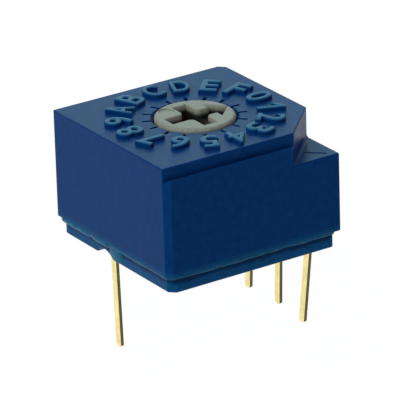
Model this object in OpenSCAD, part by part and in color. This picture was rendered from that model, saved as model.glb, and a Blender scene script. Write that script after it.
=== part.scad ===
// Rotary dip switch with sixteen coded positions and a 4:1 pin layout.
// Origin: middle of the base underside, on the circuit board. +Z up, dial position 0 along +X.

/* [Housing] */
// Side of the square housing
body_w = 10; // [9.8:0.05:10.6]
// Height of the dial face above the circuit board
body_h = 6.55; // [6.4:0.05:7.2]
// Height of the housing rim above the circuit board
rim_z = 0.95; // [0.8:0.05:1.1]
// Thickness of the side walls
wall_t = 0.8; // [0.65:0.05:0.85]
// Bevel on two opposite upright corners
corner_bevel = 0.3; // [0.1:0.05:0.5]
// Height of the set-back strip under the dial's front edge
lip_h = 0.53; // [0.3:0.01:0.8]
// How far the strip is set back from the front wall
lip_in = 0.3; // [0.1:0.01:0.4]
// Fall of the groove between the strip and the front wall
lip_groove = 0.16; // [0.05:0.01:0.3]
// Leg of the corner notch along each side
notch_leg = 2.75; // [1.5:0.05:3]
// Depth of the corner notch below the dial face
notch_d = 1.53; // [0.5:0.01:1.6]
// Fillet at the foot of the notch wall
notch_fillet = 0.15; // [0.05:0.01:0.4]

/* [Dial] */
// Reach of a position tick from the edge of the rotor bore
tick_l = 0.55; // [0.2:0.05:0.8]
// Width of a position tick
tick_w = 0.18; // [0.05:0.01:0.3]
// Depth of a position tick
tick_d = 0.14; // [0.05:0.01:0.3]
// Countersink round the rotor bore
bore_bevel = 0.12; // [0.02:0.01:0.15]

/* [Rotor] */
// Radius of the knob
knob_r = 2; // [1.9:0.01:2.15]
// How far the knob stands above the dial face
knob_proud = 0.12; // [0:0.01:0.3]
// Rounding of the knob's rim
knob_round = 0.18; // [0.05:0.01:0.3]
// Running clearance round the knob and the pivot
run_fit = 0.05; // [0.02:0.01:0.09]
// Width of the screwdriver slot
slot_w = 0.75; // [0.5:0.05:0.9]
// Length of the deep arm of the slot
slot_l = 2.8; // [2:0.05:3]
// Depth of the deep arm below the top of the knob
slot_d = 0.95; // [0.5:0.05:1]
// Reach of the arrow's tip from the axis
arrow_reach = 1.9; // [1.7:0.05:1.95]
// Length of the arrow's head
arrow_head = 0.85; // [0.5:0.05:1]
// Width of the arrow's head
arrow_w = 1.6; // [1.2:0.05:1.9]
// Reach of the arrow's tail from the axis
arrow_tail = 1.5; // [1:0.05:1.7]
// Depth of the arrow below the top of the knob
arrow_d = 0.5; // [0.2:0.05:0.8]
// Rounding of the knob's four lobes where the arms of the slot cross
lobe_round = 0.3; // [0.1:0.01:0.35]
// Radius of the round mark on the knob
mark_r = 0.4; // [0.2:0.05:0.45]
// Depth of the round mark
mark_d = 0.05; // [0.02:0.01:0.15]
// Clearance between the crests of the toothed flange and the spring's leaf
leaf_gap = 0.35; // [0.3:0.01:0.45]
// Thickness of the toothed flange
flange_t = 1.2; // [1:0.05:1.25]
// Radius of the hollow between two teeth
tooth_hollow_r = 0.42; // [0.36:0.01:0.45]
// Depth of the hollow between two teeth
tooth_d = 0.27; // [0.15:0.01:0.3]
// Radius of the pivot under the rotor
pivot_r = 0.4; // [0.3:0.05:0.5]
// Side of the square key that turns the code disc
key_w = 1; // [0.8:0.05:1]
// Depth of the pivot's hole in the base
pivot_depth = 0.75; // [0.4:0.05:0.9]

/* [Seal] */
// Cord thickness of the sealing ring
oring_t = 0.56; // [0.4:0.02:0.6]
// Depth of the ring's middle below the dial face
oring_z = 1.3; // [1.25:0.05:1.5]

/* [Code plate] */
// Thickness of the metal code plate
plate_t = 0.15; // [0.1:0.01:0.2]
// Thickness of the insulating disc above it
disc_t = 0.45; // [0.3:0.05:0.5]
// Radius of the insulating disc
disc_r = 3.35; // [3.3:0.01:3.4]
// Width of one code track
track_w = 0.4; // [0.3:0.01:0.42]
// Radius to the middle of the innermost track
track_inner_r = 1; // [0.96:0.01:1.02]
// Distance from one track to the next
track_pitch = 0.5; // [0.48:0.01:0.51]
// Angle by which each code window is widened at both ends
window_trim = 3; // [1:0.5:5]

/* [Base] */
// How far the base's sides are set back from the housing walls
base_inset = 0.3; // [0.25:0.05:0.5]
// Bevel on the base's two corners
base_bevel = 0.35; // [0.1:0.05:0.6]
// Height of the contact platform above the circuit board
deck_z = 1.6; // [1.5:0.05:1.7]
// Clearance between the platform and the housing walls
deck_fit = 0.05; // [0.02:0.01:0.1]
// Side of the four posts that carry the detent spring
post_w = 0.85; // [0.6:0.05:0.95]
// Place of the nick along the common pin's side
nick_y = 1.25; // [0.9:0.05:1.6]
// Width of the nick
nick_w = 1.45; // [0.8:0.05:2]
// Height of the nick
nick_h = 0.32; // [0.2:0.01:0.5]
// Depth of the nick into the base
nick_in = 0.5; // [0.2:0.05:0.55]
// How far the sealing bead stays inside the housing walls
bead_inset = 0.05; // [0.03:0.01:0.1]
// Height of the sealing bead
bead_h = 0.38; // [0.2:0.01:0.6]

/* [Terminals] */
// Distance between neighbouring pins of the row
pin_pitch = 2.54; // [2.5:0.01:2.54]
// Distance of the pin row from the axis
row_x = 3.88; // [3.8:0.01:3.92]
// Distance of the common pin from the axis
common_x = 3.98; // [3.8:0.01:4]
// Place of the common pin along its side
common_y = 1.45; // [1.2:0.05:1.6]
// Width of a pin
pin_w = 0.42; // [0.36:0.02:0.6]
// Thickness of the stamped strip
strip_t = 0.17; // [0.15:0.01:0.22]
// Length of the row pins below the base
row_pin_l = 3.9; // [3:0.05:5]
// Length of the common pin below the base
common_pin_l = 5.1; // [3:0.05:5.2]
// Bevel at a pin's tip
pin_tip = 0.08; // [0.02:0.01:0.15]
// Length of a terminal's foot on the platform
foot_l = 0.45; // [0.3:0.05:0.6]
// Width of a contact finger
finger_w = 0.36; // [0.26:0.02:0.36]
// Angle at which the finger of bit 1 meets its track
angle_1 = 66.5; // [65:0.5:68]
// Angle at which the finger of bit 8 meets its track
angle_8 = 57.9; // [57:0.1:59]
// Angle at which the finger of bit 4 meets its track
angle_4 = -39.4; // [-41:0.1:-38]
// Angle at which the finger of bit 2 meets its track
angle_2 = -67; // [-68:0.5:-65]
// Angle at which the common finger meets its track
angle_common = 30; // [25:1:35]
// Overhang of a finger past its contact point
finger_end = 0.22; // [0.15:0.01:0.25]
// Fall of the finger's end below its contact point
finger_drop = 0.15; // [0.1:0.01:0.3]
// Height of the contact space between the platform and the code plate
contact_h = 0.9; // [0.8:0.05:1]

/* [Detent spring] */
// Thickness of the leaf
leaf_t = 0.12; // [0.08:0.01:0.14]
// Height of the leaf
leaf_h = 1; // [0.7:0.05:1]
// Room for the leaf to flex towards the wall
flex_gap = 0.33; // [0.3:0.01:0.4]
// Width of the spring's nose at the leaf
nose_w = 0.9; // [0.7:0.05:1]
// Clearance between the nose and the bottom of a hollow
nose_gap = 0.05; // [0.03:0.01:0.1]
// Cut across each corner of the spring
leaf_corner = 0.35; // [0.2:0.05:0.5]
// Distance of the spring's open ends past the axis
leaf_reach = 3.2; // [3:0.05:3.4]

/* [Hidden] */

$fn = 48;
// Extra length of a cutting shape past the face that it opens
past = 0.5;
// Gap between pieces that touch without pressing
seat_fit = 0.01;
positions = 16;
step_a = 360 / positions;
half = body_w / 2;
cavity = half - wall_t;
bore_r = knob_r + run_fit;
base_half = half - base_inset;
deck_half = cavity - deck_fit;
flange_gap = 0.05;
leaf_step = 0.1;
disc_fit = 0.02;
plate_rim = 0.05;

// Heights from the board upwards
plate_z = deck_z + contact_h;
disc_z = plate_z + plate_t;
flange_z = disc_z + disc_t;
flange_top = flange_z + flange_t;
ceiling_z = flange_top + flange_gap;
leaf_z = flange_z + leaf_step;
knob_top = body_h + knob_proud;
groove_z = body_h - oring_z;
notch_z = body_h - notch_d;

// Place of the round mark on the knob
mark_x = -0.45 * knob_r;
mark_y = 0.58 * knob_r;

// Seal and detent
oring_mid_r = bore_r - seat_fit - oring_t / 2;
groove_r = oring_mid_r - oring_t / 2 - seat_fit;
groove_h = oring_t + 4 * disc_fit;
leaf_back = cavity - leaf_t / 2 - seat_fit;
leaf_arm = cavity - flex_gap - leaf_t / 2;
// Radius of the toothed flange over its crests
flange_r = leaf_arm - leaf_t / 2 - leaf_gap;
hollow_mid_r = flange_r - tooth_d + tooth_hollow_r;
nose_y = flange_r - tooth_d + nose_gap + leaf_t / 2;

// Terminals: place along the side, code track counted from the axis, bend of the pin
row_1 = 1.5 * pin_pitch;
row_8 = 0.5 * pin_pitch;
row_4 = -0.5 * pin_pitch;
row_2 = -1.5 * pin_pitch;
track_common = 0;
track_8 = 1;
track_4 = 2;
track_2 = 3;
track_1 = 4;
bend_1 = 0.05;
bend_8 = 0.17;
bend_4 = 0.12;
bend_2 = 0.43;
bend_common = 0.12;

function track_r(i) = track_inner_r + i * track_pitch;
// Where the finger that meets track i at the angle a touches it
function contact_x(a, i) = track_r(i) * cos(a);
function contact_y(a, i) = track_r(i) * sin(a);
plate_in = track_r(track_common) - track_w / 2 - plate_rim;
plate_out = track_r(track_1) + track_w / 2 + disc_fit + plate_rim;

// Upright block with bevels on the corners (-X, -Y) and (+X, +Y).
module bevelled_block(w, bevel, z0, z1) {
    h = w / 2;
    translate([0, 0, z0])
        linear_extrude(z1 - z0)
            polygon([[-h + bevel, -h], [h, -h], [h, h - bevel], [h - bevel, h],
                     [-h, h], [-h, -h + bevel]]);
}

// Flat strip of one thickness along a line of points, with round joints.
module strip_2d(points, t) {
    for (i = [0 : len(points) - 2]) {
        from = points[i];
        run = points[i + 1] - from;
        translate(from)
            rotate(atan2(run[1], run[0]))
                translate([0, -t / 2])
                    square([norm(run), t]);
    }
    for (p = points)
        translate(p)
            circle(d = t, $fn = 24);
}

// Housing: one moulding with the dial, open underneath.
module housing() {
    color([0.16, 0.33, 0.5])
        difference() {
            union() {
                difference() {
                    bevelled_block(body_w, corner_bevel, rim_z, body_h);
                    corner_notch();
                }
                intersection() {
                    bevelled_block(body_w, corner_bevel, rim_z, body_h);
                    notch_foot_fillet();
                }
            }
            front_lip();
            translate([-cavity, -cavity, rim_z - past])
                cube([2 * cavity, 2 * cavity, ceiling_z - rim_z + past]);
            translate([0, 0, ceiling_z - past])
                cylinder(r = bore_r, h = body_h - ceiling_z + 2 * past);
            translate([0, 0, body_h - bore_bevel])
                cylinder(r1 = bore_r, r2 = bore_r + 2 * bore_bevel, h = 2 * bore_bevel);
            for (i = [0 : positions - 1])
                rotate(-i * step_a)
                    dial_tick();
        }
}

module corner_notch() {
    translate([half, -half, notch_z])
        linear_extrude(notch_d + past)
            polygon([[past, -past], [past, notch_leg + past],
                     [-notch_leg - past, -past]]);
}

module notch_foot_fillet() {
    translate([half, -half + notch_leg, notch_z])
        rotate([0, 0, -135])
            rotate([90, 0, 90])
                translate([0, -seat_fit])
                    linear_extrude(notch_leg * sqrt(2))
                        difference() {
                            translate([-seat_fit, 0])
                                square(notch_fillet + seat_fit);
                            translate([notch_fillet, notch_fillet + seat_fit])
                                circle(r = notch_fillet, $fn = 32);
                        }
}

// Set-back strip along the front edge, with a groove that falls inwards at its foot.
module front_lip() {
    foot = body_h - lip_h;
    translate([-half - past, -half, 0])
        rotate([90, 0, 90])
            linear_extrude(body_w + 2 * past)
                polygon([[-past, foot], [0, foot], [lip_in, foot - lip_groove],
                         [lip_in, body_h + past], [-past, body_h + past]]);
}

module dial_tick() {
    translate([knob_r, -tick_w / 2, body_h - tick_d])
        cube([run_fit + tick_l, tick_w, tick_d + past]);
}

// Rotor: knob, sealed neck, toothed flange, square key and pivot in one moulding.
module rotor() {
    color([0.6, 0.62, 0.57])
        difference() {
            union() {
                rotate_extrude()
                    rotor_profile();
                translate([-key_w / 2, -key_w / 2, plate_z + disc_fit])
                    cube([key_w, key_w, flange_z - plate_z]);
            }
            for (i = [0 : positions - 1])
                rotate(i * step_a)
                    translate([hollow_mid_r, 0, flange_z - past])
                        cylinder(r = tooth_hollow_r, h = flange_t + 2 * past);
            driver_slot();
            translate([mark_x, mark_y, knob_top - mark_d])
                cylinder(r = mark_r, h = mark_d + past);
        }
}

module rotor_profile() {
    difference() {
        union() {
            square([knob_r, knob_top - knob_round]);
            square([knob_r - knob_round, knob_top]);
            translate([knob_r - knob_round, knob_top - knob_round])
                circle(r = knob_round);
            translate([0, flange_z])
                square([flange_r, flange_t]);
        }
        translate([groove_r, groove_z - groove_h / 2])
            square([knob_r, groove_h]);
        translate([pivot_r, -past])
            square([flange_r, flange_z + past]);
        translate([-seat_fit, -past])
            square([flange_r, deck_z - pivot_depth + disc_fit + past]);
    }
}

// Cross slot whose arm along +X ends in an arrow head.
module driver_slot() {
    translate([-slot_w / 2, -slot_l / 2, knob_top - slot_d])
        cube([slot_w, slot_l, slot_d + past]);
    translate([0, 0, knob_top - arrow_d])
        linear_extrude(arrow_d + past)
            union() {
                translate([-arrow_tail, -slot_w / 2])
                    square([arrow_tail + arrow_reach - arrow_head + seat_fit, slot_w]);
                polygon([[arrow_reach - arrow_head, -arrow_w / 2], [arrow_reach, 0],
                         [arrow_reach - arrow_head, arrow_w / 2]]);
                for (turn = [0 : 90 : 270])
                    rotate(turn)
                        lobe_corner();
            }
}

// Corner that rounds one lobe of the knob.
module lobe_corner() {
    translate([slot_w / 2 - seat_fit, slot_w / 2 - seat_fit])
        difference() {
            square(lobe_round + seat_fit);
            translate([lobe_round + seat_fit, lobe_round + seat_fit])
                circle(r = lobe_round);
        }
}

// Sealing ring in the groove of the rotor's neck.
module o_ring() {
    color([0.12, 0.12, 0.12])
        translate([0, 0, groove_z])
            rotate_extrude()
                translate([oring_mid_r, 0])
                    circle(d = oring_t);
}

// Window of the code plate: run m of the positions where this bit is off.
module code_window(track, weight, contact, run, grow, z0, h) {
    first = 2 * run * weight;
    start = contact + (first - 0.5) * step_a - window_trim - grow;
    turn = weight * step_a + 2 * (window_trim + grow);
    rotate(start)
        rotate_extrude(angle = turn)
            translate([track_r(track) - track_w / 2 - grow * disc_fit, z0])
                square([track_w + 2 * grow * disc_fit, h]);
}

module code_windows(grow, z0, h) {
    for (m = [0 : 7])
        code_window(track_1, 1, angle_1, m, grow, z0, h);
    for (m = [0 : 3])
        code_window(track_2, 2, angle_2, m, grow, z0, h);
    for (m = [0 : 1])
        code_window(track_4, 4, angle_4, m, grow, z0, h);
    code_window(track_8, 8, angle_8, 0, grow, z0, h);
}

// Insulating disc under the flange, with pads that fill the windows of the plate.
module code_disc() {
    color([0.2, 0.2, 0.22])
        difference() {
            union() {
                translate([0, 0, disc_z])
                    cylinder(r = disc_r, h = disc_t);
                code_windows(0, plate_z, plate_t + disc_fit);
            }
            translate([-key_w / 2 - seat_fit, -key_w / 2 - seat_fit, plate_z - past])
                cube([key_w + 2 * seat_fit, key_w + 2 * seat_fit, disc_t + 2 * past]);
        }
}

// Gold-plated code plate: one stamping whose windows switch the four bits off.
module code_plate() {
    color([0.85, 0.7, 0.35])
        difference() {
            translate([0, 0, plate_z])
                cylinder(r = plate_out, h = plate_t);
            translate([0, 0, plate_z - past])
                cylinder(r = plate_in, h = plate_t + 2 * past);
            code_windows(1, plate_z - past, plate_t + 2 * past);
        }
}

// Detent spring: one leaf bent to a U, with a nose in each arm that drops between the teeth.
module detent_spring() {
    half_path = [[-leaf_back, 0], [-leaf_back, leaf_arm - leaf_corner],
                 [-leaf_back + leaf_corner, leaf_arm], [-nose_w / 2, leaf_arm], [0, nose_y],
                 [nose_w / 2, leaf_arm], [leaf_reach, leaf_arm],
                 [leaf_reach + leaf_back - leaf_arm, leaf_back]];
    color([0.75, 0.76, 0.78])
        translate([0, 0, leaf_z])
            linear_extrude(leaf_h)
                for (side = [-1, 1])
                    scale([1, side])
                        strip_2d(half_path, leaf_t);
}

// Plan of a terminal's foot: from its pin, along the side, to the root of its finger.
module foot_2d(x, y, finger_y, grow) {
    low = min(y - pin_w / 2, finger_y - finger_w / 2);
    high = max(y + pin_w / 2, finger_y + finger_w / 2);
    translate([x + strip_t / 2 - foot_l - grow, low - grow])
        square([foot_l + 2 * grow, high - low + 2 * grow]);
}

// One stamped terminal: pin, foot and rising finger, drawn for the +X side.
module terminal(x, y, angle, track, pin_l, bend) {
    root_x = x + strip_t / 2 - foot_l;
    finger_z = plate_z - seat_fit - strip_t / 2;
    finger_y = contact_y(angle, track);
    touch_x = contact_x(angle, track);
    color([0.86, 0.73, 0.4]) {
        intersection() {
            translate([0, y + pin_w / 2, 0])
                rotate([90, 0, 0])
                    linear_extrude(pin_w)
                        polygon([[x + strip_t / 2, deck_z], [x - strip_t / 2, deck_z],
                                 [x - strip_t / 2, 0], [x - strip_t / 2 - bend, -pin_l],
                                 [x + strip_t / 2 - bend, -pin_l], [x + strip_t / 2, 0]]);
            rotate([90, 0, 90])
                linear_extrude(body_w)
                    polygon([[y - pin_w / 2, deck_z], [y + pin_w / 2, deck_z],
                             [y + pin_w / 2, -pin_l + pin_tip], [y + pin_w / 2 - pin_tip, -pin_l],
                             [y - pin_w / 2 + pin_tip, -pin_l], [y - pin_w / 2, -pin_l + pin_tip]]);
        }
        translate([0, 0, deck_z - strip_t])
            linear_extrude(strip_t)
                foot_2d(x, y, finger_y, 0);
        translate([0, finger_y + finger_w / 2, 0])
            rotate([90, 0, 0])
                linear_extrude(finger_w)
                    strip_2d([[root_x, deck_z - strip_t / 2], [touch_x, finger_z],
                              [touch_x - finger_end, finger_z - finger_drop]], strip_t);
    }
}

// Room for a terminal in the base: a slot for its pin, a pocket for its foot and a channel
// that reaches half way along its finger.
module terminal_room(x, y, angle, track) {
    root_x = x + strip_t / 2 - foot_l;
    finger_y = contact_y(angle, track);
    channel_x = (root_x + contact_x(angle, track)) / 2;
    translate([x - strip_t / 2 - seat_fit, y - pin_w / 2 - seat_fit, -past])
        cube([strip_t + 2 * seat_fit, pin_w + 2 * seat_fit, deck_z + past]);
    translate([0, 0, deck_z - strip_t - seat_fit])
        linear_extrude(strip_t + 2 * seat_fit)
            foot_2d(x, y, finger_y, seat_fit);
    translate([channel_x, finger_y - finger_w / 2 - seat_fit, deck_z - strip_t - seat_fit])
        cube([root_x + seat_fit - channel_x, finger_w + 2 * seat_fit, strip_t + past]);
}

module terminal_1() {
    terminal(row_x, row_1, angle_1, track_1, row_pin_l, bend_1);
}

module terminal_8() {
    terminal(row_x, row_8, angle_8, track_8, row_pin_l, bend_8);
}

module terminal_4() {
    terminal(row_x, row_4, angle_4, track_4, row_pin_l, bend_4);
}

module terminal_2() {
    terminal(row_x, row_2, angle_2, track_2, row_pin_l, bend_2);
}

module terminal_common() {
    mirror([1, 0, 0])
        terminal(common_x, common_y, angle_common, track_common, common_pin_l, bend_common);
}

// Base: plate, contact platform and four posts in one moulding round the terminals.
module base() {
    color([0.14, 0.31, 0.48])
        difference() {
            union() {
                bevelled_block(2 * base_half, base_bevel, 0, rim_z);
                translate([-deck_half, -deck_half, 0])
                    cube([2 * deck_half, 2 * deck_half, deck_z]);
                for (sx = [-1, 1], sy = [-1, 1])
                    translate([sx * (deck_half - post_w / 2), sy * (deck_half - post_w / 2), 0])
                        translate([-post_w / 2, -post_w / 2, 0])
                            cube([post_w, post_w, leaf_z]);
            }
            translate([0, 0, deck_z - pivot_depth])
                cylinder(r = pivot_r + run_fit, h = pivot_depth + past);
            terminal_room(row_x, row_1, angle_1, track_1);
            terminal_room(row_x, row_8, angle_8, track_8);
            terminal_room(row_x, row_4, angle_4, track_4);
            terminal_room(row_x, row_2, angle_2, track_2);
            mirror([1, 0, 0])
                terminal_room(common_x, common_y, angle_common, track_common);
            base_nick();
        }
}

// Rounded nick in the lower edge, beside the common pin.
module base_nick() {
    nick_r = (nick_w * nick_w / 4 + nick_h * nick_h) / (2 * nick_h);
    translate([-base_half - past, nick_y, nick_h - nick_r])
        rotate([0, 90, 0])
            cylinder(r = nick_r, h = nick_in + past);
}

// Bead of sealing resin in the corner between the base and the housing rim.
module epoxy_seal() {
    low_w = 2 * base_half + 4 * seat_fit;
    top_w = body_w - 2 * bead_inset;
    color([0.2, 0.42, 0.52])
        difference() {
            translate([0, 0, rim_z - bead_h])
                linear_extrude(bead_h, scale = top_w / low_w)
                    translate([-low_w / 2, -low_w / 2])
                        square(low_w);
            bevelled_block(2 * base_half, base_bevel, rim_z - bead_h - past, rim_z + past);
            bead_corner(1);
            bead_corner(-1);
        }
}

// Trims the bead at the two bevelled corners.
module bead_corner(side) {
    reach = half - corner_bevel / 2 - 2 * bead_inset;
    rotate(side * 90 - 45)
        translate([norm([reach, reach]), -half, 0])
            cube([half, body_w, body_h]);
}

housing();
base();
rotor();
o_ring();
code_disc();
code_plate();
detent_spring();
terminal_common();
terminal_1();
terminal_2();
terminal_4();
terminal_8();
epoxy_seal();
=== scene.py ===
import math

import bmesh
import bpy
from mathutils import Matrix, Vector, noise


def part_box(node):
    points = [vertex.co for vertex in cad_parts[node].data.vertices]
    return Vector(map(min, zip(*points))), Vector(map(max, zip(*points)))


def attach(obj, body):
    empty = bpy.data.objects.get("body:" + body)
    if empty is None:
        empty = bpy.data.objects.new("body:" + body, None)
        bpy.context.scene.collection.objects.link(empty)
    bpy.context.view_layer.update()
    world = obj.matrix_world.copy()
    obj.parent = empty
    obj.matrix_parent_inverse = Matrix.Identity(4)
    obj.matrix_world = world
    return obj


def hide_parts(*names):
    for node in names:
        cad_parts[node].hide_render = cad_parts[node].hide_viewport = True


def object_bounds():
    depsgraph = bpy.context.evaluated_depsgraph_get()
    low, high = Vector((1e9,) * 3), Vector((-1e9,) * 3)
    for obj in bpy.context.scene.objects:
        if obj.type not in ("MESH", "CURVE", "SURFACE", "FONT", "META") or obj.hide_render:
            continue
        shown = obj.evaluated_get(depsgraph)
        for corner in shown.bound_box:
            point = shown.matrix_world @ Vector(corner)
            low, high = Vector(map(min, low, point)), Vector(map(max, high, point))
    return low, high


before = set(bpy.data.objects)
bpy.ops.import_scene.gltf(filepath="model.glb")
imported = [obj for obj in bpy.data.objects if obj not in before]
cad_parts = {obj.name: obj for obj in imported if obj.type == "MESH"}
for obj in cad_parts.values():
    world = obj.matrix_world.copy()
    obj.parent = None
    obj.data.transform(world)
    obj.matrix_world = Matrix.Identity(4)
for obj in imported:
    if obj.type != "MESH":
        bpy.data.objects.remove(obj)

cad_low, cad_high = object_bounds()

# Camera
# A long lens looks down at the corner between the front wall and the left wall, as in the
# photograph. The point that it aims at is given by its pixel in the 400 by 400 picture.
MM = 0.001
PICTURE = 400
view_azimuth = math.radians(-32.963)
view_elevation = math.radians(22.628)
view_roll = math.radians(-1.769)
view_distance = 215.4 * MM
aim_point = Vector((0, 0, 4.05)) * MM
aim_pixel = (196.5, 164.37)
focal_pixels = 4427.9
film_width = 36

towards_camera = Vector((math.sin(view_azimuth) * math.cos(view_elevation),
                         -math.cos(view_azimuth) * math.cos(view_elevation),
                         math.sin(view_elevation)))
camera_turn = (-towards_camera).to_track_quat("-Z", "Y").to_matrix()
camera_turn = camera_turn @ Matrix.Rotation(view_roll, 3, "Z")
aim_ray = Vector(((aim_pixel[0] - PICTURE / 2) / focal_pixels,
                  (PICTURE / 2 - aim_pixel[1]) / focal_pixels, -1))
camera_place = aim_point - camera_turn @ (aim_ray * view_distance)

camera_data = bpy.data.cameras.new("camera")
camera_data.sensor_width = film_width
camera_data.lens = focal_pixels * film_width / PICTURE
camera_data.clip_start = 0.01
camera_data.clip_end = 10
camera = bpy.data.objects.new("camera", camera_data)
camera.matrix_world = Matrix.Translation(camera_place) @ camera_turn.to_4x4()
bpy.context.scene.collection.objects.link(camera)
bpy.context.scene.camera = camera


# Housing
# The body of the switch is one injection moulding in blue plastic, open underneath. Its
# outer edges come out of the mould with small radii, which catch the light.
edge_radius = 0.06 * MM
skin_reach = 4.5 * MM
bore_zone = 2.8 * MM
roof_z = 4.5 * MM
sharp_angle = math.radians(25)
smooth_angle = math.radians(35)
merge_distance = 0.0002 * MM
flat_angle = math.radians(0.4)
housing_low, housing_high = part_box("housing")
face_z = housing_high.z
rim_z = housing_low.z
wall_x = housing_high.x


def choose(*pieces):
    """Makes these objects the only selected ones, and the last one the active one."""
    for piece in bpy.context.selected_objects:
        piece.select_set(False)
    for piece in pieces:
        piece.select_set(True)
    bpy.context.view_layer.objects.active = pieces[-1]


def merged_copy(node, name):
    """A closed copy of a CAD node's mesh, its flat faces joined up, ready for rounding."""
    piece = bpy.data.objects.new(name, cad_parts[node].data.copy())
    bpy.context.scene.collection.objects.link(piece)
    piece.data.materials.clear()
    choose(piece)
    if piece.data.has_custom_normals:
        bpy.ops.mesh.customdata_custom_splitnormals_clear()
    bpy.ops.object.mode_set(mode="EDIT")
    bpy.ops.mesh.select_all(action="SELECT")
    bpy.ops.mesh.remove_doubles(threshold=merge_distance)
    bpy.ops.mesh.dissolve_limited(angle_limit=flat_angle)
    bpy.ops.mesh.select_all(action="DESELECT")
    bpy.ops.object.mode_set(mode="OBJECT")
    return piece


def round_edges(piece, radius, wanted, segments=3):
    """Rounds the sharp outward edges whose two ends both pass the test."""
    choose(piece)
    bpy.ops.object.mode_set(mode="EDIT")
    bpy.ops.mesh.select_mode(type="EDGE")
    bpy.ops.mesh.select_all(action="DESELECT")
    shape = bmesh.from_edit_mesh(piece.data)
    for edge in shape.edges:
        if edge.is_convex and edge.calc_face_angle(0) > sharp_angle:
            if all(wanted(end.co) for end in edge.verts):
                edge.select_set(True)
    bmesh.update_edit_mesh(piece.data)
    bpy.ops.mesh.bevel(offset=radius, segments=segments, affect="EDGES", clamp_overlap=False)
    bpy.ops.mesh.select_all(action="SELECT")
    bpy.ops.mesh.remove_doubles(threshold=merge_distance)
    bpy.ops.mesh.select_all(action="DESELECT")
    bpy.ops.object.mode_set(mode="OBJECT")


def smooth(piece):
    """Smooth shading over the rounded edges, with the flat faces left flat."""
    choose(piece)
    bpy.ops.object.shade_smooth_by_angle(angle=smooth_angle)
    bpy.ops.object.modifier_add(type="WEIGHTED_NORMAL")
    piece.modifiers[-1].keep_sharp = True
    bpy.ops.object.modifier_apply(modifier=piece.modifiers[-1].name)


def on_skin(point):
    """True on the outside of the housing, away from its cavity, its bore and the ticks."""
    if max(abs(point.x), abs(point.y)) > skin_reach:
        return True
    return point.z > roof_z and math.hypot(point.x, point.y) > bore_zone


housing = merged_copy("housing", "housing_moulding")
round_edges(housing, edge_radius, on_skin)

# Gate scar and weld line
# Where the plastic entered the mould, the front wall keeps a small raised ring. A fine weld
# line crosses the floor of the corner notch. Both are in one piece with the housing.
scar_place = Vector((-1.0 * MM, -wall_x, 3.5 * MM))
scar_radius = 0.14 * MM
scar_rise = 0.03 * MM
weld_from = Vector((3.72, -3.92, 5.02)) * MM
weld_to = Vector((4.5, -4.66, 5.02)) * MM
weld_rise = 0.025 * MM

bpy.ops.mesh.primitive_torus_add(major_radius=scar_radius, minor_radius=scar_rise,
                                 major_segments=32, minor_segments=10, location=scar_place,
                                 rotation=(math.radians(90), 0, 0))
gate_scar = bpy.context.active_object
bpy.ops.object.transform_apply(location=True, rotation=True, scale=True)

weld_run = weld_to - weld_from
bpy.ops.mesh.primitive_cylinder_add(vertices=12, radius=weld_rise, depth=weld_run.length)
weld_line = bpy.context.active_object
weld_line.data.transform(Matrix.Translation((weld_from + weld_to) / 2)
                         @ weld_run.to_track_quat("Z", "Y").to_matrix().to_4x4())
choose(weld_line, gate_scar, housing)
bpy.ops.object.join()

# Dial characters
# Sixteen raised characters, 0 to F clockwise, stand on the top face. They are part of the
# housing's moulding, with rounded tops and edges.
character_height = 1.42 * MM
character_width = 0.92 * MM
character_radius = 3.75 * MM
character_rise = 0.22 * MM
letter_size = 1.82 * MM
half_thickness = 0.15 * MM
crown = 0.08 * MM
thinner = -0.025 * MM
one_width = 0.42 * MM
one_stem = 0.1 * MM
one_top = 0.02 * MM
one_flag_drop = 0.34 * MM
one_flag_root = 0.12 * MM
position_step = math.radians(22.5)


def outline_of_one():
    """The plain 1 of the dial as a flat curve: a stem with a slanted flag and no foot."""
    bpy.ops.curve.primitive_bezier_circle_add()
    piece = bpy.context.active_object
    piece.data.splines.clear()
    top = character_height / 2
    side = one_width / 2
    stem = side - one_stem
    points = [(stem, -top), (side, -top), (side, top), (stem + one_top, top),
              (-side, top - one_flag_drop), (-side, top - one_flag_drop - one_stem),
              (stem, top - one_flag_root)]
    line = piece.data.splines.new("POLY")
    line.points.add(len(points) - 1)
    for point, (x, y) in zip(line.points, points):
        point.co = (x, y, 0, 1)
    line.use_cyclic_u = True
    piece.data.dimensions = "2D"
    piece.data.fill_mode = "BOTH"
    return piece


def outline_of(sign):
    """Any other character as a slightly thinned line of text."""
    bpy.ops.object.text_add()
    piece = bpy.context.active_object
    piece.data.body = sign
    piece.data.size = letter_size
    piece.data.offset = thinner
    piece.data.resolution_u = 6
    return piece


def raised_character(sign, turn):
    """One character as a closed mesh in its place on the dial, at this turn round the bore."""
    piece = outline_of_one() if sign == "1" else outline_of(sign)
    piece.data.extrude = half_thickness - crown
    piece.data.bevel_depth = crown
    piece.data.bevel_resolution = 2
    choose(piece)
    bpy.ops.object.convert(target="MESH")
    piece = bpy.context.active_object
    corners = [Vector(corner) for corner in piece.bound_box]
    low = Vector(map(min, zip(*corners)))
    high = Vector(map(max, zip(*corners)))
    size = high - low
    width = one_width + 2 * crown if sign == "1" else character_width
    fit = Matrix.Diagonal((width / size.x, character_height / size.y, 1, 1))
    upright = fit @ Matrix.Translation(-(low + high) / 2)
    middle_z = face_z + character_rise - half_thickness
    place = Matrix.Rotation(turn, 4, "Z") @ Matrix.Translation((character_radius, 0, middle_z))
    piece.data.transform(place @ Matrix.Rotation(math.radians(-90), 4, "Z") @ upright)
    choose(piece)
    bpy.ops.object.mode_set(mode="EDIT")
    bpy.ops.mesh.select_all(action="SELECT")
    bpy.ops.mesh.remove_doubles(threshold=merge_distance)
    bpy.ops.mesh.normals_make_consistent(inside=False)
    bpy.ops.object.mode_set(mode="OBJECT")
    return piece


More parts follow.
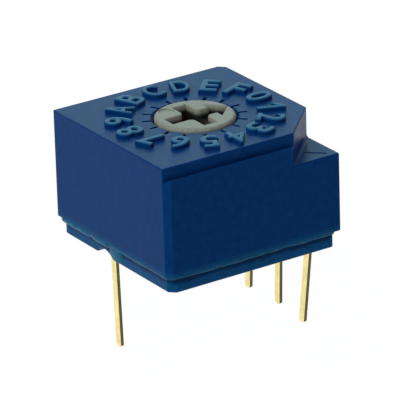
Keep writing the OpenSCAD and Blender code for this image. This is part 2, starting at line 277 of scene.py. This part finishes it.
characters = [raised_character(sign, -index * position_step)
              for index, sign in enumerate("0123456789ABCDEF")]
choose(*characters, housing)
bpy.ops.object.join()
smooth(housing)
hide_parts("housing")
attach(housing, "case")

# Blue plastic of the housing
# Moulded blue plastic with a fine grain, soft clouds in its colour and a low, uneven sheen.
# Painted bounce light pales its lower rim, and the tops of the raised characters carry a
# painted highlight.
housing_colour = (0.0022, 0.035, 0.145)
blue_sheen = (0.1, 0.7, 0.85)
# Painted bounce light: a paler blue laid on the lower rim of the housing, paler towards its
# bottom edge.
painted_bounce_colour = (0.008, 0.085, 0.18)
painted_bounce_height = 0.4 * MM
painted_bounce_share = 0.7
# Painted highlight: a paler blue laid on the tops of the raised characters.
painted_highlight_colour = (0.05, 0.19, 0.3)
painted_highlight_from = face_z + character_rise - 0.07 * MM
painted_highlight_to = face_z + character_rise - 0.01 * MM
painted_highlight_share = 0.6


def add_node(tree, kind, **settings):
    """Adds a node, and sets its properties and its input sockets by their names."""
    node = tree.nodes.new(kind)
    for name, value in settings.items():
        if hasattr(node, name):
            setattr(node, name, value)
        else:
            node.inputs[name].default_value = value
    return node


def moulded_skin():
    """Node group: clouds the colour and the roughness, and gives the height of the grain."""
    group = bpy.data.node_groups.new("moulded_skin", "ShaderNodeTree")
    for name, way, kind in (("Color", "INPUT", "NodeSocketColor"),
                            ("Clouds", "INPUT", "NodeSocketFloat"),
                            ("Cloud Scale", "INPUT", "NodeSocketFloat"),
                            ("Grain Scale", "INPUT", "NodeSocketFloat"),
                            ("Roughness", "INPUT", "NodeSocketFloat"),
                            ("Color", "OUTPUT", "NodeSocketColor"),
                            ("Roughness", "OUTPUT", "NodeSocketFloat"),
                            ("Height", "OUTPUT", "NodeSocketFloat")):
        group.interface.new_socket(name, in_out=way, socket_type=kind)
    given = add_node(group, "NodeGroupInput")
    result = add_node(group, "NodeGroupOutput")
    place = add_node(group, "ShaderNodeTexCoord")
    cloud = add_node(group, "ShaderNodeTexNoise", Detail=4, Roughness=0.6)
    grain = add_node(group, "ShaderNodeTexNoise", Detail=2, Roughness=0.5)
    centred = add_node(group, "ShaderNodeMath", operation="SUBTRACT")
    centred.inputs[1].default_value = 0.5
    amount = add_node(group, "ShaderNodeMath", operation="MULTIPLY_ADD")
    amount.inputs[2].default_value = 1
    clouded = add_node(group, "ShaderNodeVectorMath", operation="SCALE")
    rough = add_node(group, "ShaderNodeMath", operation="MULTIPLY", use_clamp=True)
    join = group.links.new
    join(place.outputs["Object"], cloud.inputs["Vector"])
    join(place.outputs["Object"], grain.inputs["Vector"])
    join(given.outputs["Cloud Scale"], cloud.inputs["Scale"])
    join(given.outputs["Grain Scale"], grain.inputs["Scale"])
    join(cloud.outputs["Fac"], centred.inputs[0])
    join(centred.outputs[0], amount.inputs[0])
    join(given.outputs["Clouds"], amount.inputs[1])
    join(given.outputs["Color"], clouded.inputs[0])
    join(amount.outputs[0], clouded.inputs["Scale"])
    join(given.outputs["Roughness"], rough.inputs[0])
    join(amount.outputs[0], rough.inputs[1])
    join(clouded.outputs[0], result.inputs["Color"])
    join(rough.outputs[0], result.inputs["Roughness"])
    join(grain.outputs["Fac"], result.inputs["Height"])
    return group


skin_group = moulded_skin()


def skinned(name, colour, roughness, clouds, cloud_scale, grain_scale, grain_depth,
            specular=0.5, sheen=(1, 1, 1), metallic=0.0):
    """A material with the moulded skin, and its node tree, shader and skin for more work."""
    material = bpy.data.materials.new(name)
    material.use_nodes = True
    tree = material.node_tree
    shader = tree.nodes["Principled BSDF"]
    shader.inputs["Specular IOR Level"].default_value = specular
    shader.inputs["Specular Tint"].default_value = (*sheen, 1)
    shader.inputs["Metallic"].default_value = metallic
    skin = add_node(tree, "ShaderNodeGroup", node_tree=skin_group)
    skin.inputs["Color"].default_value = (*colour, 1)
    skin.inputs["Clouds"].default_value = clouds
    skin.inputs["Cloud Scale"].default_value = cloud_scale
    skin.inputs["Grain Scale"].default_value = grain_scale
    skin.inputs["Roughness"].default_value = roughness
    bump = add_node(tree, "ShaderNodeBump", Distance=grain_depth)
    tree.links.new(skin.outputs["Color"], shader.inputs["Base Color"])
    tree.links.new(skin.outputs["Roughness"], shader.inputs["Roughness"])
    tree.links.new(skin.outputs["Height"], bump.inputs["Height"])
    tree.links.new(bump.outputs["Normal"], shader.inputs["Normal"])
    return material, tree, shader, skin


def place_parts(tree, output="Object"):
    """The place on the piece, or its Normal, as a vector and as its X, Y and Z."""
    vector = add_node(tree, "ShaderNodeTexCoord").outputs[output]
    parts = add_node(tree, "ShaderNodeSeparateXYZ")
    tree.links.new(vector, parts.inputs[0])
    return vector, parts.outputs


def calculated(tree, operation, first, second):
    """The result of a Math node on an output and a second output or number."""
    node = add_node(tree, "ShaderNodeMath", operation=operation)
    tree.links.new(first, node.inputs[0])
    if isinstance(second, bpy.types.NodeSocket):
        tree.links.new(second, node.inputs[1])
    else:
        node.inputs[1].default_value = second
    return node.outputs[0]


def ramp(tree, value, start, end, most=1.0):
    """Goes smoothly from 0 where the value is at its start to the most at its end."""
    node = add_node(tree, "ShaderNodeMapRange", interpolation_type="SMOOTHSTEP")
    node.inputs["From Min"].default_value = start
    node.inputs["From Max"].default_value = end
    node.inputs["To Max"].default_value = most
    tree.links.new(value, node.inputs["Value"])
    return node.outputs["Result"]


def mixed(tree, below, colour, share):
    """The colour below with another one laid over it by this share."""
    node = add_node(tree, "ShaderNodeMix", data_type="RGBA")
    node.inputs[7].default_value = (*colour, 1)
    tree.links.new(share, node.inputs["Factor"])
    tree.links.new(below, node.inputs[6])
    return node.outputs[2]


def paint(piece, material):
    """Gives a piece or a CAD node this one material."""
    piece.data.materials.clear()
    piece.data.materials.append(material)


housing_blue, tree, shader, skin = skinned(
    "housing_blue", housing_colour, roughness=0.36, clouds=0.75, cloud_scale=2600,
    grain_scale=16000, grain_depth=0.004 * MM, specular=0.05, sheen=blue_sheen)
_, parts = place_parts(tree)
# Painted bounce light along the lower rim.
painted_bounce = ramp(tree, parts["Z"], rim_z + painted_bounce_height, rim_z, painted_bounce_share)
# Painted highlight on the tops of the raised characters.
painted_highlight = ramp(tree, parts["Z"], painted_highlight_from, painted_highlight_to, painted_highlight_share)
with_painted_bounce = mixed(tree, skin.outputs["Color"], painted_bounce_colour, painted_bounce)
tree.links.new(mixed(tree, with_painted_bounce, painted_highlight_colour, painted_highlight), shader.inputs["Base Color"])
paint(housing, housing_blue)

# Base
# The plate that closes the housing from below, moulded in the same blue, with rounded outer
# edges and a nick beside the common pin. It is sealed with resin, and has painted shade under
# the rim.
base_edge = 0.12 * MM
base_reach = 4.3 * MM
plate_top = 0.9 * MM
base_colour = (0.005, 0.066, 0.185)
# Painted shade: a darker blue laid on the upper part of the base's sides, under the housing
# rim.
painted_shade_colour = (0.002, 0.016, 0.06)
painted_shade_from = 0.56 * MM
painted_shade_to = 0.78 * MM
painted_shade_share = 0.85
ragged_scale = 1500
ragged_height = 0.35 * MM


def on_plate_edge(point):
    """True on the outer edges of the base's plate."""
    return max(abs(point.x), abs(point.y)) > base_reach and point.z < plate_top


base = merged_copy("base", "base_moulding")
round_edges(base, base_edge, on_plate_edge)
smooth(base)
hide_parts("base")
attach(base, "case")

base_blue, tree, shader, skin = skinned(
    "base_blue", base_colour, roughness=0.4, clouds=0.9, cloud_scale=2600,
    grain_scale=16000, grain_depth=0.005 * MM, specular=0.06, sheen=blue_sheen)
vector, parts = place_parts(tree)
# Painted shade under the housing rim, darker towards the top of the base, with a ragged lower
# edge.
ragged = add_node(tree, "ShaderNodeTexNoise", Scale=ragged_scale, Detail=3)
tree.links.new(vector, ragged.inputs["Vector"])
height = calculated(tree, "MULTIPLY", ragged.outputs["Fac"], ragged_height)
height = calculated(tree, "ADD", height, parts["Z"])
painted_shade = ramp(tree, height, painted_shade_from, painted_shade_to, painted_shade_share)
tree.links.new(mixed(tree, skin.outputs["Color"], painted_shade_colour, painted_shade),
               shader.inputs["Base Color"])
paint(base, base_blue)

# Sealing bead
# After assembly, resin is run into the corner between the base and the housing rim. It cures
# to an uneven, glossy bead, with one thicker drop beside the nick.
bead_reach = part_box("epoxy_seal")[1].x - 0.12 * MM
bead_z = rim_z - 0.06 * MM
bead_corner = 0.25 * MM
bead_radius = 0.09 * MM
bead_waver = 0.05 * MM
bead_swell = 0.09 * MM
swell_from = 0.4 * MM
bead_steps = 60
long_waves = 1.6 / MM
short_waves = 4.7 / MM
drop_place = Vector((-4.7, 0.12, 0.48)) * MM
drop_size = Vector((0.09, 0.62, 0.44)) * MM
resin_colour = (0.009, 0.1, 0.2)
resin_sheen = (0.2, 0.9, 1)

bpy.ops.curve.primitive_bezier_circle_add()
bead = bpy.context.active_object
bead.name = "sealing_bead"
bead.data.splines.clear()
bead_path = []
corners = [Vector((x, y, 0)) * bead_reach for x, y in ((-1, -1), (1, -1), (1, 1), (-1, 1))]
for index, corner in enumerate(corners):
    after = corners[(index + 1) % len(corners)]
    run = (after - corner).normalized()
    first = corner + run * bead_corner
    last = after - run * bead_corner
    for step in range(bead_steps):
        bead_path.append(first.lerp(last, step / (bead_steps - 1)) + Vector((0, 0, bead_z)))
line = bead.data.splines.new("POLY")
line.points.add(len(bead_path) - 1)
for point, place in zip(line.points, bead_path):
    waver = noise.noise(place * long_waves) + 0.5 * noise.noise(place * short_waves)
    swell = bead_swell if place.x < -base_reach and place.y > swell_from else 0
    point.co = (*place, 1)
    point.radius = 1 + (waver * bead_waver + swell) / bead_radius
line.use_cyclic_u = True
bead.data.dimensions = "3D"
bead.data.bevel_depth = bead_radius
bead.data.bevel_resolution = 3
choose(bead)
bpy.ops.object.convert(target="MESH")
bead = bpy.context.active_object
bpy.ops.mesh.primitive_uv_sphere_add(segments=32, ring_count=20, radius=1)
drop = bpy.context.active_object
drop.data.transform(Matrix.Translation(drop_place) @ Matrix.Diagonal((*drop_size, 1)))
choose(drop, bead)
bpy.ops.object.join()
bpy.ops.object.shade_smooth()
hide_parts("epoxy_seal")
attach(bead, "case")
resin, _, _, _ = skinned(
    "cured_resin", resin_colour, roughness=0.3, clouds=1.2, cloud_scale=2600,
    grain_scale=9000, grain_depth=0.01 * MM, specular=0.1, sheen=resin_sheen)
paint(bead, resin)

# Rotor
# The light grey knob that a screwdriver turns, moulded in one piece with its neck, its
# toothed flange and its pivot. The slot's edges are softly rounded and its inside has painted
# shade, darker with depth.
slot_edge = 0.08 * MM
knob_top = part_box("rotor")[1].z
slot_edge_z = knob_top - 0.01 * MM
slot_reach = 1.93 * MM
mark_place = Vector((-0.9, 1.16, 0)) * MM
mark_zone = 0.43 * MM
knob_colour = (0.262, 0.267, 0.212)
# Painted shade inside the slot: the colour goes towards near black with depth below the knob
# top.
slot_shade_colour = (0.012, 0.013, 0.009)
slot_shade_from = knob_top - 0.12 * MM
slot_shade_to = knob_top - 0.4 * MM
slot_floor = knob_top - 1.0 * MM


def on_slot_edge(point):
    """True on the knob's flat top, where the slot opens, but not round the mark."""
    from_mark = math.hypot(point.x - mark_place.x, point.y - mark_place.y)
    return point.z > slot_edge_z and from_mark > mark_zone


rotor = merged_copy("rotor", "rotor_moulding")
round_edges(rotor, slot_edge, on_slot_edge)
smooth(rotor)
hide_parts("rotor")
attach(rotor, "rotor")

knob_grey, tree, shader, skin = skinned(
    "knob_grey", knob_colour, roughness=0.5, clouds=0.9, cloud_scale=6000,
    grain_scale=22000, grain_depth=0.006 * MM, specular=0.2)
vector, parts = place_parts(tree)
flat = add_node(tree, "ShaderNodeVectorMath", operation="MULTIPLY")
flat.inputs[1].default_value = (1, 1, 0)
reach = add_node(tree, "ShaderNodeVectorMath", operation="LENGTH")
tree.links.new(vector, flat.inputs[0])
tree.links.new(flat.outputs[0], reach.inputs[0])
# Painted shade: inside the slot, the colour darkens with depth.
near = calculated(tree, "LESS_THAN", reach.outputs["Value"], slot_reach)
above = calculated(tree, "GREATER_THAN", parts["Z"], slot_floor)
inside = calculated(tree, "MULTIPLY", near, above)
slot_shade = ramp(tree, parts["Z"], slot_shade_from, slot_shade_to)
share = calculated(tree, "MULTIPLY", inside, slot_shade)
tree.links.new(mixed(tree, skin.outputs["Color"], slot_shade_colour, share),
               shader.inputs["Base Color"])
paint(rotor, knob_grey)

# Terminals
# Five strips of bronze, stamped from gold-plated sheet. The faces that point along Y are
# painted darker, as painted shade, and the others keep the bright gold. The edges are slightly
# rounded.
pin_edge = 0.03 * MM
pin_zone = -0.02 * MM
gold_colour = (0.92, 0.78, 0.35)
# Painted shade: the faces that point along Y get this darker colour.
pin_shade_colour = (0.11, 0.095, 0.045)
pin_shade_from = 0.6
pin_shade_to = 0.9


def on_pin(point):
    """True on the pin below the base."""
    return point.z < pin_zone


gold, tree, shader, skin = skinned(
    "plated_strip", gold_colour, roughness=0.24, clouds=0.7, cloud_scale=2500,
    grain_scale=9000, grain_depth=0.003 * MM, metallic=1)
_, facing = place_parts(tree, "Normal")
sideways = add_node(tree, "ShaderNodeMath", operation="ABSOLUTE")
tree.links.new(facing["Y"], sideways.inputs[0])
# Painted shade on the faces that point along Y.
pin_shade = ramp(tree, sideways.outputs[0], pin_shade_from, pin_shade_to)
tree.links.new(mixed(tree, skin.outputs["Color"], pin_shade_colour, pin_shade),
               shader.inputs["Base Color"])

for node in ("terminal_common", "terminal_1", "terminal_2", "terminal_4", "terminal_8"):
    strip = merged_copy(node, node + "_strip")
    round_edges(strip, pin_edge, on_pin, segments=2)
    smooth(strip)
    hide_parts(node)
    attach(strip, "case")
    paint(strip, gold)

# Inner pieces
# The rubber sealing ring, the insulating disc, the gold-plated code plate and the steel spring
# are hidden inside. They keep their CAD shapes and get their own finishes.
rubber_colour = (0.012, 0.012, 0.013)
insulator_colour = (0.03, 0.03, 0.034)
plated_colour = (0.83, 0.66, 0.3)
steel_colour = (0.52, 0.53, 0.55)

rubber, _, _, _ = skinned(
    "ring_rubber", rubber_colour, roughness=0.55, clouds=0.8, cloud_scale=3000,
    grain_scale=20000, grain_depth=0.006 * MM, specular=0.3)
insulator, _, _, _ = skinned(
    "disc_plastic", insulator_colour, roughness=0.5, clouds=0.6, cloud_scale=2200,
    grain_scale=14000, grain_depth=0.005 * MM, specular=0.35)
plated, _, _, _ = skinned(
    "plated_plate", plated_colour, roughness=0.28, clouds=0.5, cloud_scale=1500,
    grain_scale=12000, grain_depth=0.002 * MM, metallic=1)
steel, _, _, _ = skinned(
    "rolled_steel", steel_colour, roughness=0.3, clouds=0.5, cloud_scale=1800,
    grain_scale=15000, grain_depth=0.002 * MM, metallic=1)
paint(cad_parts["o_ring"], rubber)
paint(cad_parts["code_disc"], insulator)
paint(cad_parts["code_plate"], plated)
paint(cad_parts["detent_spring"], steel)

# Floor
# A plain pale table top under the pins. The camera and reflections see it white, and it keeps
# the soft shadow of the switch.
floor_size = 4.0
floor_grey = 0.75
floor_glow = 1.03
floor_white = 0.94

bpy.ops.mesh.primitive_plane_add(size=floor_size, location=(0, 0, cad_low.z))
floor = bpy.context.active_object
floor.name = "floor"
table = bpy.data.materials.new("table_top")
table.use_nodes = True
tree = table.node_tree
tree.nodes.remove(tree.nodes["Principled BSDF"])
matt = add_node(tree, "ShaderNodeBsdfDiffuse", Color=(floor_grey, floor_grey, floor_grey, 1))
white = add_node(tree, "ShaderNodeEmission", Strength=floor_glow)
blend = add_node(tree, "ShaderNodeMixShader")
rays = add_node(tree, "ShaderNodeLightPath").outputs
seen = calculated(tree, "MAXIMUM", rays["Is Camera Ray"], rays["Is Glossy Ray"])
seen = calculated(tree, "MAXIMUM", seen, rays["Is Transmission Ray"])
seen = calculated(tree, "MULTIPLY", seen, floor_white)
tree.links.new(seen, blend.inputs[0])
tree.links.new(matt.outputs[0], blend.inputs[1])
tree.links.new(white.outputs[0], blend.inputs[2])
tree.links.new(blend.outputs[0], tree.nodes["Material Output"].inputs["Surface"])
floor.data.materials.append(table)

# Light
# A soft box stands high on the left, another behind the switch is mirrored in the dial face,
# and an even grey studio fills the rest.
studio_level = 0.43
studio_tint = (0.88, 0.9, 1, 1)
box_side = 0.3
left_place = (-0.33, -0.02, 0.26)
left_power = 1.1
left_tint = (0.94, 1, 0.97)
back_place = (0.2, 0.31, 0.17)
back_power = 0.5
back_tint = (0.55, 0.98, 1)

world = bpy.data.worlds.new("studio")
bpy.context.scene.world = world
world.use_nodes = True
world.node_tree.nodes["Background"].inputs["Color"].default_value = studio_tint
world.node_tree.nodes["Background"].inputs["Strength"].default_value = studio_level


def soft_box(name, place, power, tint):
    """A square lamp at this place that faces the switch."""
    lamp_data = bpy.data.lights.new(name, "AREA")
    lamp_data.size = box_side
    lamp_data.energy = power
    lamp_data.color = tint
    lamp = bpy.data.objects.new(name, lamp_data)
    facing_switch = Vector(place).to_track_quat("Z", "Y").to_matrix().to_4x4()
    lamp.matrix_world = Matrix.Translation(place) @ facing_switch
    bpy.context.scene.collection.objects.link(lamp)


soft_box("left_box", left_place, left_power, left_tint)
soft_box("back_box", back_place, back_power, back_tint)
bpy.context.scene.view_settings.view_transform = "Standard"

# Size
# The view layer is brought up to date.
bpy.context.view_layer.update()
